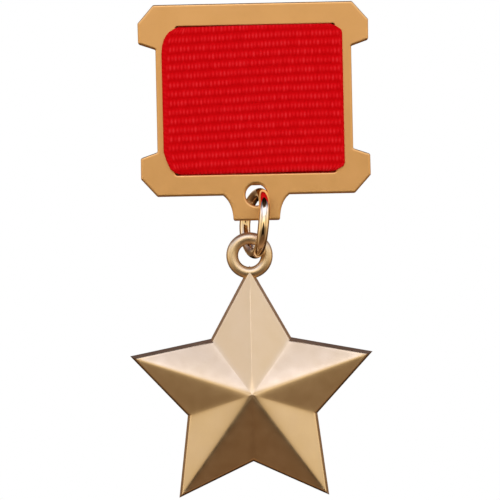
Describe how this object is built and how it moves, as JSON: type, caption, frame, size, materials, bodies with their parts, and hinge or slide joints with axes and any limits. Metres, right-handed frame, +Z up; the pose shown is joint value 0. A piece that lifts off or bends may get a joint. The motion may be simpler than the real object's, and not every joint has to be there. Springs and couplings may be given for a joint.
{
  "type": "military service medal",
  "caption": "Faceted gold star hung by a jump ring from a ribbon-covered suspension plate, with a brooch pin and safety catch on the back.",
  "frame": {"origin": "centre of the brooch bar's flat rear face, level with the middle of the suspension plate", "axes": "+Z up along the medal's length, +Y out of the back towards the coat, +X to the viewer's right; the front faces -Y"},
  "size_m": [0.0287, 0.0106, 0.058],
  "materials": {
    "plate_gold": "satin gold plating",
    "star_gold": "soft satin gold plating",
    "ring_gold": "polished gold plating",
    "brooch_metal": "satin gilt",
    "needle_steel": "drawn steel wire, polished point",
    "ribbon_red": "ribbed silk rep"
  },
  "bodies": {
    "plate": {"suspension_plate": "plate_gold", "ribbon": "ribbon_red", "backing_plate": "plate_gold", "brooch_bar": "brooch_metal", "hinge_pin": "brooch_metal", "catch_housing": "brooch_metal"},
    "pin": {"needle": "needle_steel"},
    "catch": {"catch_sleeve": "brooch_metal"},
    "ring": {"jump_ring": "ring_gold"},
    "pendant": {"star": "star_gold", "star_eyelet": "star_gold"}
  },
  "joints": [
    {"name": "ring_sway", "type": "hinge", "parent": "plate", "child": "ring", "pos_m": [0.0003, -0.0019, -0.01105], "axis": [0, 1, 0], "range_deg": [-50, 50]},
    {"name": "star_swing", "type": "hinge", "parent": "ring", "child": "pendant", "pos_m": [-0.0007, -0.00195, -0.0173], "axis": [1, 0, 0], "range_deg": [-20, 45]},
    {"name": "pin_swing", "type": "hinge", "parent": "plate", "child": "pin", "pos_m": [-0.0089, 0.0026, 0], "axis": [0, 0, 1], "range_deg": [0, 95]},
    {"name": "catch_turn", "type": "hinge", "parent": "plate", "child": "catch", "pos_m": [0.0093, 0.0026, 0], "axis": [1, 0, 0], "range_deg": [0, 100]}
  ]
}
